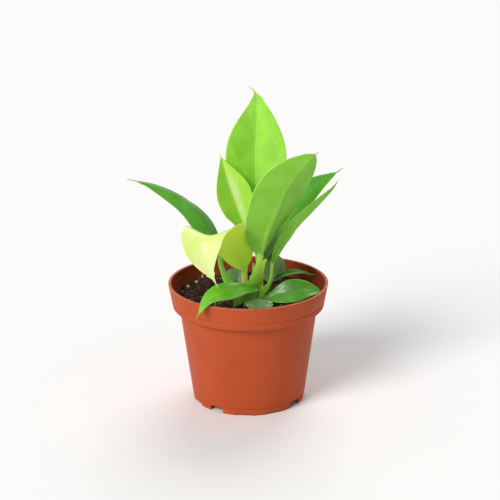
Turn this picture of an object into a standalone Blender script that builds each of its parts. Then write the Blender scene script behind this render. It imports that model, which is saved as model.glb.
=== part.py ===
"""Young philodendron in a plastic nursery pot.

World: metres, +Z up, the pot's axis is Z and the pot stands on z = 0. The side
that shows best faces -Y. Run with: blender --background --python part.py
"""

import math

import bpy
from mathutils import Vector, noise

MM = 0.001

# ---- Pot -------------------------------------------------------------------
RIM_RADIUS = 54 * MM            # outside of the rim, a four-inch nursery pot
POT_HEIGHT = 82 * MM
POT_WALL = 1.3 * MM
LIP_WIDTH = 2.0 * MM            # thickened top edge of the rim
LIP_HEIGHT = 1.2 * MM
BAND_HEIGHT = 15.8 * MM         # stacking band under the rim
BAND_DRAFT = 2.8 * MM           # how much the band narrows downwards
BAND_STEP = 4.6 * MM            # how far the band stands out from the body
STEP_DROP = 2.0 * MM            # the slope under the band
GROOVE_DROP = 11.7 * MM         # the line that runs round the band
GROOVE_DEPTH = 0.5 * MM
FOOT_RADIUS = 38.7 * MM
FOOT_HEIGHT = 5.2 * MM
FOOT_INSET = 0.7 * MM
FLOOR_LIFT = 4.6 * MM           # underside of the floor above the ground
PAD_RADIUS = 12 * MM            # flat pad in the middle of the underside
GAP_COUNT = 12                  # gaps between the lugs of the foot ring
GAP_WIDTH = 10 * MM
GAP_DEPTH = 8 * MM              # of its cut, through the ring
GAP_HEIGHT = 1.1 * MM
GAP_TURN = math.radians(-35)    # first deep gap, from the front towards +X
DRAIN_EVERY = 3                 # each third gap is a deep drain notch
DRAIN_HEIGHT = 3.6 * MM
DRAIN_HOLE_RADIUS = 2.8 * MM
DRAIN_HOLE_INSET = 8 * MM       # from the outside of the foot to the hole's axis
POT_STEPS = 48

# ---- Potting mix -----------------------------------------------------------
FREEBOARD = 10 * MM             # from the rim down to the mix at the crown
CLEARANCE = 0.3 * MM            # between pieces that touch
MIX_FALL = 1.2 * MM             # the mix lies lower at the wall
MIX_ROUGHNESS = 0.6 * MM
MIX_GRAIN = 9 * MM              # distance between the bumps
BUMP_LEVEL = 0.6                # height of a bump that is level with the mix
MIX_RINGS = 9
MIX_STEPS = 36

# ---- Plant -----------------------------------------------------------------
PLANT_HEIGHT = 141 * MM         # from the mix to the tallest tip
LEAF_THICKNESS = 0.7 * MM
CROWN_PLACE = Vector((6, -8)) * MM
CROWN_RADIUS = 5.6 * MM
CROWN_RISE = 8.5 * MM
CROWN_DEPTH = 18 * MM           # buried length of the stem
CROWN_STEPS = 20
# The stem's section, top to bottom: radius as a share of the crown's, and height as
# a share of its rise (above the mix) or of its depth (below).
CROWN_BULB = ((0, 1), (0.55, 0.98), (0.86, 0.82), (1, 0.35), (0.97, 0))
CROWN_ROOT = ((0.75, 0.6), (0.35, 0.97), (0, 1))
CURVE_STEPS = 20                # fine steps between two drawn points

# The leaf and stalk points below are drawn at these sizes.
DRAWN_HEIGHT = 141 * MM
DRAWN_RIM = 54 * MM
DRAWN_FREEBOARD = 10 * MM
DRAWN_CROWN_RADIUS = 5.6 * MM
DRAWN_CROWN_RISE = 8.5 * MM

MIX_TOP = POT_HEIGHT - FREEBOARD
CROWN_FOOT = Vector((CROWN_PLACE.x, CROWN_PLACE.y, MIX_TOP))
GROWTH = PLANT_HEIGHT / DRAWN_HEIGHT
REACH = RIM_RADIUS / DRAWN_RIM
LIFT = FREEBOARD / DRAWN_FREEBOARD

# ---- Colours (base colour, roughness, metallic) ------------------------------
TERRACOTTA = ((0.55, 0.13, 0.05), 0.5, 0.0)
MIX_BROWN = ((0.045, 0.022, 0.012), 0.95, 0.0)
BARK_BROWN = ((0.07, 0.03, 0.018), 0.9, 0.0)
STRAW = ((0.5, 0.3, 0.14), 0.85, 0.0)
PERLITE_WHITE = ((0.85, 0.83, 0.78), 0.9, 0.0)
STEM_GREEN = ((0.28, 0.5, 0.08), 0.5, 0.0)
FRESH_GREEN = ((0.3, 0.62, 0.06), 0.4, 0.0)
PALE_GREEN = ((0.2, 0.42, 0.08), 0.5, 0.0)
DEEP_GREEN = ((0.05, 0.22, 0.03), 0.35, 0.0)
GREY_GREEN = ((0.16, 0.27, 0.14), 0.5, 0.0)
YELLOW_GREEN = ((0.7, 0.85, 0.18), 0.45, 0.0)

# ---- Leaves ------------------------------------------------------------------
# midrib: points in mm from the crown's foot, base to tip; faces: where the upper
# side looks, spread evenly from base to tip; fold: degrees each half rises from
# the midrib towards the upper side, from base to tip, and far_fold the same for
# the half on the right of the tip; widest: share of the length; low: the leaf
# lies in the pot, so it reaches out with the rim.
LEAVES = {
    "tall_back": dict(
        midrib=((0, 11, 40), (-0.5, 15.5, 66), (-0.5, 20, 99), (0.5, 23, 121), (0.2, 23.5, 132),
                (-1.6, 23.5, 137.5), (-5.3, 23.5, 141)),
        half_width=21, widest=0.56, base=0.65, tip=1.0, drip=0.06,
        faces=((0.05, -1, 0.15), (0, -1, 0.1)), fold=(18, 14), color=FRESH_GREEN),
    "inner_left": dict(
        midrib=((-4.5, 3, 41), (-11, 5, 56.5), (-17.5, 7, 74.5), (-22, 8, 90.5),
                (-23.5, 8.5, 96.5), (-24.5, 8.5, 99)),
        half_width=14, widest=0.53, base=0.6, tip=1.05, drip=0.04,
        faces=((0.4, -0.87, 0.2), (0.5, -0.87, 0.1)), fold=(24, 22), far_fold=(36, 30),
        color=FRESH_GREEN),
    "front_big": dict(
        midrib=((2, -12, 35), (6.5, -15.5, 51.5), (12.5, -18, 66.5), (18.5, -20, 81.5),
                (27.5, -23, 96), (36.5, -27, 107), (39, -27, 108.5)),
        half_width=19.8, widest=0.49, base=0.5, tip=0.72, drip=0.03,
        faces=((-0.4, 0.9, 0.3), (-0.4, 0.9, 0.3), (-0.1, 0.95, 0.35)), fold=(24, 24, 12),
        color=PALE_GREEN),
    "right_back": dict(
        midrib=((7.5, 4, 25), (17.5, 11, 43), (28, 16.5, 60), (41, 19.5, 73.5), (53.5, 22, 82),
                (57.5, 22, 85)),
        half_width=13.5, widest=0.47, base=0.7, tip=1.0, drip=0.06,
        faces=((-0.5, -0.6, 0.6), (-0.45, -0.6, 0.7)), fold=(28, 20), color=DEEP_GREEN),
    "right_front": dict(
        midrib=((10, -2, 27), (14, -3, 34), (20, -4, 44), (27.5, -4, 53.5), (35.5, -3, 61.5),
                (43, -1, 69), (49.5, 2, 75.5), (53.5, 5, 81)),
        half_width=7.5, widest=0.45, base=0.6, tip=0.9, drip=0.02,
        faces=((-0.6, 0.4, 0.7), (-0.6, 0.35, 0.7)), fold=(52, 46), color=PALE_GREEN),
    "far_left": dict(
        midrib=((-24, 5, 27), (-30, 6, 41.5), (-36, 7, 54.5), (-44.5, 8, 64.5), (-56, 9, 71.5),
                (-69.5, 9, 77.5), (-79, 8, 80.5), (-85.5, 8, 82)),
        half_width=10, widest=0.33, base=0.55, tip=1.0, drip=0.07,
        faces=((0.35, -0.75, 0.55), (0.3, -0.65, 0.65)), fold=(10, -22, -15),
        far_fold=(-20, -55, -35), color=DEEP_GREEN),
    "yellow_new": dict(
        midrib=((-11, -6, 26), (-16.5, -12, 36.5), (-23, -20, 46.5), (-29.5, -29, 54.5),
                (-34, -36, 54), (-34.5, -40, 47), (-32, -42, 37.5), (-28, -42, 29),
                (-25, -42, 23)),
        half_width=19.5, widest=0.46, base=0.45, tip=0.95, drip=0.08,
        faces=((-0.2, 0.9, 0.4), (-0.3, 0.6, 0.8), (-0.3, -0.1, 1), (-0.1, -1, 0.5), (0.1, -1, 0)),
        fold=(20, 28, 26, 20, 12), color=YELLOW_GREEN),
    "front_left": dict(
        midrib=((0.5, -7.5, 9.5), (-10, -14, 13), (-20.5, -24, 14.5), (-30, -34, 13.5),
                (-35, -40, 10.5), (-38, -43, 6), (-39.5, -43.5, 2.5)),
        half_width=7.6, widest=0.48, base=0.6, tip=0.9, drip=0.06,
        faces=((0, -0.5, 1), (-0.3, -0.6, 1), (-0.9, -0.6, 0.5)), fold=(12, 8),
        low=True, color=FRESH_GREEN),
    "front_right": dict(
        midrib=((6, -4.5, 2.5), (18.5, -6, 6.5), (30, -6, 9), (41, -1.5, 4.5)),
        half_width=8.3, widest=0.48, base=0.6, tip=0.8, drip=0.03,
        faces=((-0.1, -0.6, 1), (0.3, -0.6, 1)), fold=(10, 10), low=True, color=DEEP_GREEN),
    "right_curl": dict(
        midrib=((10, 7, 10.5), (18.5, 14, 13.5), (26.5, 20, 13.5), (33.5, 27, 9.5),
                (37.5, 29, 7), (40, 30, 7)),
        half_width=3.2, widest=0.4, base=0.7, tip=1.0, drip=0.03,
        faces=((0, -0.5, 1), (0, -0.5, 1)), fold=(25, 20), low=True, color=PALE_GREEN),
    "back_round": dict(
        midrib=((8, 16, 6), (9.5, 23, 10), (12.5, 29, 16.5), (14, 31, 21.5)),
        half_width=8.5, widest=0.6, base=0.6, tip=0.6, drip=0.02,
        faces=((0.1, -0.8, 0.6), (0.2, -0.9, 0.4)), fold=(8, 8), low=True, color=GREY_GREEN),
    "back_left": dict(
        midrib=((-11.5, 11, 8), (-15, 14, 10.5), (-20.5, 20, 13)),
        half_width=6, widest=0.55, base=0.6, tip=0.6, drip=0.02,
        faces=((-0.2, -0.8, 0.6), (-0.2, -0.8, 0.6)), fold=(8, 8), low=True, color=GREY_GREEN),
    "front_small": dict(
        midrib=((1, -8.5, 4), (1, -16, 5), (1.5, -24, 5), (3, -31, 2.5)),
        half_width=8, widest=0.45, base=0.6, tip=0.7, drip=0.02,
        faces=((0, -0.3, 1), (0, -0.5, 1)), fold=(8, 8), low=True, color=DEEP_GREEN),
}
LEAF_ROWS = 14
LEAF_COLUMNS = 6
LEAF_NECK = 1.2                 # half width in mm where the blade meets its stalk
HAIR_TIP = 0.4                  # half width in mm of the fine tip

# Each leaf's stalk: points in mm from the crown's foot and radii in mm, crown end
# first. It stops short of its blade by the clearance.
STALKS = {
    "tall_back": (((1.2, 2.6, 9.2), (1.8, 7, 24), (0.3, 9.3, 39)), (1.7, 1.4)),
    "inner_left": (((-2.4, 2.2, 9.2), (-3.6, 3.4, 25), (-4.3, 3, 40)), (1.5, 1.3)),
    "front_big": (((-1.6, -2.8, 9.2), (0, -9, 22), (1.9, -11.8, 34)), (1.9, 1.6)),
    "right_back": (((3.2, -0.4, 9.2), (5.6, 2.4, 17), (7.3, 3.8, 24)), (1.4, 1.2)),
    "right_front": (((6.8, 0.6, 4.5), (9, -1, 14), (9.9, -2, 26)), (1.3, 1.2)),
    "far_left": (((-7.2, 0.8, 3.5), (-14, 2, 10), (-21.5, 4, 19.5), (-23.8, 4.9, 26)), (1.7, 1.3)),
    "yellow_new": (((-5.8, -4.4, 5), (-8, -5, 14), (-10.8, -5.8, 25)), (1.6, 1.4)),
    "front_left": (((1.2, -6.6, 3), (1.1, -6.9, 8.6)), (0.9, 0.8)),
    "right_curl": (((5.6, 4.1, 4), (9.3, 6.5, 9.8)), (0.9, 0.8)),
    "back_round": (((1.6, 7, 2.6), (7.8, 15.1, 5.6)), (0.9, 0.8)),
    "back_left": (((-5.2, 4.6, 2.6), (-10.8, 10.4, 7.5)), (0.9, 0.8)),
}
STALK_STEPS = 8

# A shoot that has just come up, and a rolled leaf sheath behind it.
SPROUTS = {
    "sprout": (((-6.6, 3.4, 6), (-7.4, 5, 14), (-6.6, 6.6, 24)), (1.3, 0.5)),
    "rolled_sheath": (((-2.4, 7, 3), (-2.8, 9.5, 12), (-2.6, 11, 22)), (1.2, 0.5)),
}

# ---- Pieces that lie on the mix: place in mm from the pot's axis ----------------
BARK_PLACE = (-31.8, 9)
BARK_SIZE = Vector((5, 2.2, 9)) * MM
BARK_LEAN = math.radians(14)
BARK_TURN = math.radians(20)
# place and radius in mm
GRAINS = {"perlite_left": (-41.4, 16.5, 1.2), "perlite_middle": (-36, 26.5, 1.1),
          "perlite_back": (-20, 14, 0.9)}
GRAIN_SHRINK = 0.85             # least size of a grain's dents, as a share of its radius
GRAIN_LUMPS = 0.3               # and how much its lumps add
# the dry root that stands behind the bark: place and height above the mix in mm
TWIG_POINTS = ((-33, 14.5, 0), (-32, 15.5, 7.5), (-30.4, 17, 11.5))
TWIG_RADIUS = 0.5 * MM
TWIG_STEPS = 6


# ---- Helpers -------------------------------------------------------------------
def clear_scene():
    for obj in list(bpy.data.objects):
        bpy.data.objects.remove(obj, do_unlink=True)


def make_collection(name):
    collection = bpy.data.collections.new(name)
    bpy.context.scene.collection.children.link(collection)
    return collection


def make_material(name, finish):
    color, roughness, metallic = finish
    material = bpy.data.materials.new(name)
    material.use_nodes = True
    shader = material.node_tree.nodes["Principled BSDF"]
    shader.inputs["Base Color"].default_value = (*color, 1.0)
    shader.inputs["Roughness"].default_value = roughness
    shader.inputs["Metallic"].default_value = metallic
    return material


def settle(obj, name, collection, finish):
    """Name the object, move it to its collection and give it its material."""
    obj.name = name
    for owner in list(obj.users_collection):
        owner.objects.unlink(obj)
    collection.objects.link(obj)
    obj.data.materials.clear()
    obj.data.materials.append(make_material(name, finish))
    return obj


def apply_modifiers(obj):
    bpy.ops.object.select_all(action="DESELECT")
    bpy.context.view_layer.objects.active = obj
    obj.select_set(True)
    for modifier in list(obj.modifiers):
        bpy.ops.object.modifier_apply(modifier=modifier.name)


def turned(profile, steps):
    """A solid of revolution: the profile ends on the Z axis at both ends."""
    mesh = bpy.data.meshes.new("profile")
    edges = [(i, i + 1) for i in range(len(profile) - 1)]
    mesh.from_pydata([(radius, 0, height) for radius, height in profile], edges, [])
    obj = bpy.data.objects.new("turned", mesh)
    bpy.context.scene.collection.objects.link(obj)
    screw = obj.modifiers.new("turn", "SCREW")
    screw.steps = steps
    screw.render_steps = steps
    screw.use_merge_vertices = True
    screw.merge_threshold = 0.01 * MM
    return obj


def cut(obj, cutter):
    cutter.display_type = "WIRE"
    cutter.hide_render = True
    difference = obj.modifiers.new("cut", "BOOLEAN")
    difference.operation = "DIFFERENCE"
    difference.object = cutter


def smooth_points(points, steps):
    """Evenly spaced points on a smooth curve through the given points."""
    points = [Vector(p) for p in points]
    ends = [2 * points[0] - points[1]] + points + [2 * points[-1] - points[-2]]
    fine = []
    for a, b, c, d in zip(ends, ends[1:], ends[2:], ends[3:]):
        for i in range(CURVE_STEPS):
            t = i / CURVE_STEPS
            fine.append(0.5 * (2 * b + (c - a) * t + (2 * a - 5 * b + 4 * c - d) * t ** 2
                               + (3 * b - a - 3 * c + d) * t ** 3))
    fine.append(points[-1])
    lengths = [0.0]
    for p, q in zip(fine, fine[1:]):
        lengths.append(lengths[-1] + (q - p).length)
    spaced = []
    k = 0
    for i in range(steps + 1):
        target = lengths[-1] * i / steps
        while k < len(fine) - 2 and lengths[k + 1] < target:
            k += 1
        share = (target - lengths[k]) / max(lengths[k + 1] - lengths[k], 1e-9)
        spaced.append(fine[k].lerp(fine[k + 1], share))
    return spaced


def spread(values, share):
    """The value at a share of the way along evenly spread values."""
    place = min(max(share, 0.0), 1.0) * (len(values) - 1)
    k = min(int(place), len(values) - 2)
    first, second = values[k], values[k + 1]
    if isinstance(first, (tuple, list)):
        return Vector(first).lerp(Vector(second), place - k)
    return first + (second - first) * (place - k)


def off_crown(foot):
    """How far a shoot with this drawn foot moves when the crown grows: up if it
    stands on the crown, out if it stands beside it."""
    x, y, height = foot
    if height * MM > DRAWN_CROWN_RISE:
        return Vector((0, 0, CROWN_RISE - DRAWN_CROWN_RISE)) / MM
    return Vector((x, y, 0)).normalized() * (CROWN_RADIUS - DRAWN_CROWN_RADIUS) / MM


def grown(point, along, low, shift):
    """World place of a drawn point, moved by the shift. A low leaf keeps its foot
    at the crown and reaches out and up with the rim towards its tip, which the
    shift doesn't move."""
    wide = GROWTH + (REACH - GROWTH) * along if low else GROWTH
    high = GROWTH + (LIFT - GROWTH) * along if low else GROWTH
    x, y, z = Vector(point) + shift * (1 - along if low else 1)
    return CROWN_FOOT + Vector((x * wide, y * wide, z * high)) * MM


# ---- Pot -----------------------------------------------------------------------
def body_radius(height):
    """Outside radius of the pot's tapering body."""
    top = POT_HEIGHT - BAND_HEIGHT - STEP_DROP
    share = (height - FOOT_HEIGHT) / (top - FOOT_HEIGHT)
    return FOOT_RADIUS + (RIM_RADIUS - BAND_DRAFT - BAND_STEP - FOOT_RADIUS) * share


def band_radius(height):
    """Outside radius of the band under the rim."""
    return RIM_RADIUS - BAND_DRAFT * (POT_HEIGHT - height) / BAND_HEIGHT


def inner_profile(gap):
    """Inside of the pot from the floor's edge to the rim, moved in by the gap."""
    band_foot = POT_HEIGHT - BAND_HEIGHT
    body_top = band_foot - STEP_DROP
    floor = FLOOR_LIFT + POT_WALL + gap
    inset = POT_WALL + gap
    return [(body_radius(floor) - inset, floor), (body_radius(body_top) - inset, body_top),
            (band_radius(band_foot) - inset, band_foot + POT_WALL / 2),
            (band_radius(POT_HEIGHT - LIP_HEIGHT * 2) - inset, POT_HEIGHT - LIP_HEIGHT * 2)]


def inner_radius(height, gap):
    """Inside radius of the pot at a height, less the gap."""
    profile = inner_profile(gap)
    for (r1, z1), (r2, z2) in zip(profile, profile[1:]):
        if z1 <= height <= z2:
            return r1 + (r2 - r1) * (height - z1) / (z2 - z1)
    return profile[-1][0]


def pot_profile():
    """The pot's section: floor, down the outside over the rim from within, foot."""
    groove = POT_HEIGHT - GROOVE_DROP
    band_foot = POT_HEIGHT - BAND_HEIGHT
    body_top = band_foot - STEP_DROP
    foot = FOOT_RADIUS - FOOT_INSET
    inside = [(0, FLOOR_LIFT + POT_WALL)] + inner_profile(0)
    rim = [(RIM_RADIUS - LIP_WIDTH, POT_HEIGHT - LIP_HEIGHT), (RIM_RADIUS - LIP_WIDTH, POT_HEIGHT),
           (RIM_RADIUS, POT_HEIGHT)]
    outside = [(band_radius(groove + GROOVE_DEPTH), groove + GROOVE_DEPTH),
               (band_radius(groove) - GROOVE_DEPTH, groove),
               (band_radius(groove - GROOVE_DEPTH), groove - GROOVE_DEPTH),
               (band_radius(band_foot), band_foot), (body_radius(body_top), body_top),
               (FOOT_RADIUS, FOOT_HEIGHT), (foot, FOOT_HEIGHT - FOOT_INSET), (foot, 0)]
    under = [(foot - POT_WALL, 0), (foot - POT_WALL, FLOOR_LIFT), (PAD_RADIUS, FLOOR_LIFT),
             (PAD_RADIUS, 0), (0, 0)]
    return inside + rim + outside + under


def build_pot(collection, cutters):
    pot = settle(turned(pot_profile(), POT_STEPS), "pot", collection, TERRACOTTA)
    for i in range(GAP_COUNT):
        deep = i % DRAIN_EVERY == 0
        angle = GAP_TURN + 2 * math.pi * i / GAP_COUNT
        out = Vector((math.sin(angle), -math.cos(angle), 0))
        height = DRAIN_HEIGHT if deep else GAP_HEIGHT
        bpy.ops.mesh.primitive_cube_add(size=1)
        notch = settle(bpy.context.object, f"notch_{i}", cutters, TERRACOTTA)
        notch.location = out * FOOT_RADIUS
        notch.rotation_euler.z = angle
        notch.scale = (GAP_WIDTH, GAP_DEPTH, 2 * height)
        cut(pot, notch)
        if deep:
            bpy.ops.mesh.primitive_cylinder_add(vertices=16, radius=DRAIN_HOLE_RADIUS,
                                                depth=4 * POT_WALL)
            hole = settle(bpy.context.object, f"drain_{i}", cutters, TERRACOTTA)
            hole.location = out * (FOOT_RADIUS - DRAIN_HOLE_INSET)
            hole.location.z = FLOOR_LIFT + POT_WALL / 2
            cut(pot, hole)
    return pot


# ---- Potting mix and what lies on it ---------------------------------------------
def mix_height(x, y):
    """Height of the mix's uneven top."""
    share = math.hypot(x, y) / inner_radius(MIX_TOP, CLEARANCE)
    bumps = noise.noise(Vector((x, y, 0)) / MIX_GRAIN)
    return MIX_TOP - MIX_FALL * share ** 2 + MIX_ROUGHNESS * (bumps - BUMP_LEVEL)


def build_mix(collection, cutters):
    edge = MIX_TOP - MIX_FALL
    wall = [p for p in inner_profile(CLEARANCE) if p[1] < edge]
    wall.append((inner_radius(edge, CLEARANCE), edge))
    top = [(wall[-1][0] * (1 - i / MIX_RINGS), edge) for i in range(1, MIX_RINGS + 1)]
    profile = list(reversed([(0, wall[0][1])] + wall + top))
    mix = settle(turned(profile, MIX_STEPS), "potting_mix", collection, MIX_BROWN)
    apply_modifiers(mix)
    for vertex in mix.data.vertices:
        if vertex.co.z > edge - CLEARANCE:
            vertex.co.z = mix_height(vertex.co.x, vertex.co.y)
    socket_depth = CROWN_DEPTH * GROWTH + CLEARANCE
    bpy.ops.mesh.primitive_cylinder_add(
        vertices=CROWN_STEPS, radius=CROWN_RADIUS * GROWTH + 2 * CLEARANCE, depth=2 * socket_depth)
    socket = settle(bpy.context.object, "crown_socket", cutters, MIX_BROWN)
    socket.location = CROWN_FOOT
    cut(mix, socket)
    return mix


def build_bark(collection):
    x, y = (value * REACH * MM for value in BARK_PLACE)
    bpy.ops.mesh.primitive_cube_add(size=1)
    bark = bpy.context.object
    bark.scale = BARK_SIZE
    bpy.ops.object.transform_apply(location=False, rotation=False, scale=True)
    bevel = bark.modifiers.new("worn_edges", "BEVEL")
    bevel.width = BARK_SIZE.y / 4
    bevel.segments = 2
    bark.rotation_euler = (0, BARK_LEAN, BARK_TURN)
    drop = BARK_SIZE.z / 2 + BARK_SIZE.x * math.sin(BARK_LEAN) / 2
    bark.location = (x, y, mix_height(x, y) + drop + MIX_ROUGHNESS + CLEARANCE)
    settle(bark, "bark_chip", collection, BARK_BROWN)


def build_grains(collection):
    for name, (x, y, radius) in GRAINS.items():
        x, y, radius = x * REACH * MM, y * REACH * MM, radius * MM
        bpy.ops.mesh.primitive_ico_sphere_add(subdivisions=2, radius=radius)
        grain = settle(bpy.context.object, name, collection, PERLITE_WHITE)
        for vertex in grain.data.vertices:
            lump = noise.noise(vertex.co / radius + Vector((x, y, 0)) / MM)
            vertex.co *= GRAIN_SHRINK + GRAIN_LUMPS * lump
        grain.location = (x, y, mix_height(x, y) + radius + MIX_ROUGHNESS)


def build_twig(collection):
    points = []
    for x, y, height in TWIG_POINTS:
        x, y = x * REACH * MM, y * REACH * MM
        foot = mix_height(x, y) + TWIG_RADIUS + MIX_ROUGHNESS + CLEARANCE
        points.append(Vector((x, y, foot + height * MM)))
    tube("twig", smooth_points(points, TWIG_STEPS), (TWIG_RADIUS, TWIG_RADIUS), collection, STRAW)


# ---- Plant -----------------------------------------------------------------------
def build_crown(collection):
    """The short stem: buried below, a rounded bulb above the mix."""
    profile = [(CROWN_RADIUS * out, CROWN_RISE * up) for out, up in CROWN_BULB]
    profile += [(CROWN_RADIUS * out, -CROWN_DEPTH * down) for out, down in CROWN_ROOT]
    crown = turned([(r * GROWTH, z * GROWTH) for r, z in profile], CROWN_STEPS)
    crown.location = CROWN_FOOT
    return settle(crown, "crown_stem", collection, STEM_GREEN)


def tube(name, points, radii, collection, finish):
    """A round stalk along the points, from the first radius to the second."""
    curve = bpy.data.curves.new(name, "CURVE")
    curve.dimensions = "3D"
    curve.bevel_depth = 1.0
    curve.bevel_resolution = 2
    curve.use_fill_caps = True
    spline = curve.splines.new("POLY")
    spline.points.add(len(points) - 1)
    for i, (target, point) in enumerate(zip(spline.points, points)):
        target.co = (*point, 1.0)
        target.radius = spread(radii, i / (len(points) - 1))
    obj = bpy.data.objects.new(name, curve)
    bpy.context.scene.collection.objects.link(obj)
    return settle(obj, name, collection, finish)


def outline(leaf, share):
    """Half width in mm at a share of the way from the leaf's base to its hair tip."""
    share /= 1 - leaf["drip"]
    if share >= 1:
        return HAIR_TIP
    if share < leaf["widest"]:
        half = leaf["half_width"] * math.sin(math.pi / 2 * share / leaf["widest"]) ** leaf["base"]
        return max(half, LEAF_NECK)
    past = (share - leaf["widest"]) / (1 - leaf["widest"])
    return max(leaf["half_width"] * math.cos(math.pi / 2 * past) ** leaf["tip"], HAIR_TIP)


def build_blade(name, leaf, collection):
    """A grid bent along the midrib, narrowed to the outline, folded and thickened."""
    low = leaf.get("low", False)
    foot = STALKS[name][0][0] if name in STALKS else leaf["midrib"][0]
    shift = off_crown(foot)
    bpy.ops.mesh.primitive_grid_add(x_subdivisions=LEAF_COLUMNS, y_subdivisions=LEAF_ROWS, size=2)
    blade = settle(bpy.context.object, f"leaf_{name}", collection, leaf["color"])
    drawn = smooth_points(leaf["midrib"], LEAF_ROWS)
    spine = [grown(point, i / LEAF_ROWS, low, shift) for i, point in enumerate(drawn)]
    for vertex in blade.data.vertices:
        across, share = vertex.co.x, (vertex.co.y + 1) / 2
        i = round(share * LEAF_ROWS)
        along = (spine[min(i + 1, LEAF_ROWS)] - spine[max(i - 1, 0)]).normalized()
        face = spread(leaf["faces"], share)
        face = (face - face.dot(along) * along).normalized()
        side = along.cross(face)
        fold = spread(leaf.get("far_fold", leaf["fold"]) if across > 0 else leaf["fold"], share)
        half = outline(leaf, share) * GROWTH * MM
        turn = math.radians(fold)
        vertex.co = spine[i] + half * (across * math.cos(turn) * side
                                       + abs(across) * math.sin(turn) * face)
    thicken = blade.modifiers.new("thickness", "SOLIDIFY")
    thicken.thickness = LEAF_THICKNESS
    thicken.offset = 0
    blade.data.shade_smooth()
    return blade


def build_plant(collection):
    build_crown(collection)
    for name, leaf in LEAVES.items():
        build_blade(name, leaf, collection)
    shoots = {f"stalk_{name}": (stalk, LEAVES[name].get("low", False))
              for name, stalk in STALKS.items()}
    shoots.update({name: (stalk, False) for name, stalk in SPROUTS.items()})
    for name, ((points, radii), low) in shoots.items():
        drawn = smooth_points(points, STALK_STEPS if len(points) > 2 else 2)
        placed = [grown(point, 0, low, off_crown(points[0])) for point in drawn]
        tube(name, placed, [radius * GROWTH * MM for radius in radii], collection, STEM_GREEN)


def main():
    clear_scene()
    collection = make_collection("potted_philodendron")
    cutters = make_collection("cutters")
    build_pot(collection, cutters)
    build_mix(collection, cutters)
    build_bark(collection)
    build_grains(collection)
    build_twig(collection)
    build_plant(collection)
    bpy.context.view_layer.update()


main()
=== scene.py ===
"""Young philodendron in a plastic nursery pot: fine surfaces and finishes.

World: metres, +Z up, the pot's axis is Z and the pot stands on z = 0. The side
that shows best faces -Y.
"""

import random
from math import atan2, copysign, cos, degrees, exp, hypot, pi, radians, sin, sqrt

import bmesh
import bpy
from mathutils import Matrix, Vector, noise


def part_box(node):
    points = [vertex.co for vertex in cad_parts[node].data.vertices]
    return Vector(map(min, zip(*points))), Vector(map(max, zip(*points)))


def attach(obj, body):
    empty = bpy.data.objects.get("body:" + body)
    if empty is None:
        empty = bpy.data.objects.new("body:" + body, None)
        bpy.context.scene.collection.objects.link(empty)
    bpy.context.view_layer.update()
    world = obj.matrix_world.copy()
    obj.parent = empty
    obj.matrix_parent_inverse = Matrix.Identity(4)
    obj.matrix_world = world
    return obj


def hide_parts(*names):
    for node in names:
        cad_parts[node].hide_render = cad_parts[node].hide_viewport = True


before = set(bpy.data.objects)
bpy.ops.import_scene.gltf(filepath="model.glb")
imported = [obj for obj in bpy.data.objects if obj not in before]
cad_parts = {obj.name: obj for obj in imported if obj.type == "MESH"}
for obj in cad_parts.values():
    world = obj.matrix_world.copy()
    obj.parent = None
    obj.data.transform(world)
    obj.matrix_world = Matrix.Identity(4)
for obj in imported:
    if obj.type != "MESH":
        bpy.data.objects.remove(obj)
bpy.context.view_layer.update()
BODY = "root"
MM = 0.001
TURN = 2 * pi

# ---- Pot, read from the frame ----
RIM_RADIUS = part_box("pot")[1].x
POT_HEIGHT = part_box("pot")[1].z
POT_WALL = 1.3 * MM
LIP_WIDTH = 2.0 * MM
LIP_HEIGHT = 1.2 * MM
BAND_HEIGHT = 15.8 * MM  # stacking band under the rim
BAND_DRAFT = 2.8 * MM
BAND_STEP = 4.6 * MM
STEP_DROP = 2.0 * MM
GROOVE_DROP = 11.7 * MM
GROOVE_DEPTH = 0.5 * MM
FOOT_RADIUS = 38.7 * MM
FOOT_HEIGHT = 5.2 * MM
FOOT_INSET = 0.7 * MM
FLOOR_LIFT = 4.6 * MM
PAD_RADIUS = 12 * MM
GAP_COUNT = 12  # gaps between the lugs of the foot ring
GAP_TURN = -35  # degrees, first deep gap, from the front towards +X
GAP_ANGLE = 15  # degrees
GAP_HEIGHT = 1.1 * MM
DRAIN_EVERY = 3
DRAIN_HEIGHT = 3.6 * MM
DRAIN_HOLE_RADIUS = 2.8 * MM
DRAIN_HOLE_INSET = 8 * MM
POT_STEPS = 144
EDGE_ROUND = 0.3 * MM

BAND_FOOT = POT_HEIGHT - BAND_HEIGHT
BODY_TOP = BAND_FOOT - STEP_DROP

# ---- Potting mix ----
CROWN_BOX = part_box("crown_stem")
CROWN_RISE = 8.5 * MM
MIX_TOP = CROWN_BOX[1].z - CROWN_RISE
CROWN_FOOT = Vector(((CROWN_BOX[0].x + CROWN_BOX[1].x) / 2,
                     (CROWN_BOX[0].y + CROWN_BOX[1].y) / 2, MIX_TOP))
CROWN_RADIUS = (CROWN_BOX[1].x - CROWN_BOX[0].x) / 2
MIX_FALL = 1.2 * MM
MIX_ROUGHNESS = 0.6 * MM
MIX_GRAIN = 9 * MM  # distance between the bumps
MIX_GAP = 0.1 * MM  # from the pot's wall
LUMP_SIZE = 4.5 * MM
CRACK_SIZE = 2.6 * MM
CRUMB_SIZE = 1.7 * MM
MIX_STEPS = 240
MIX_RINGS = 84
SEED = 7

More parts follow.
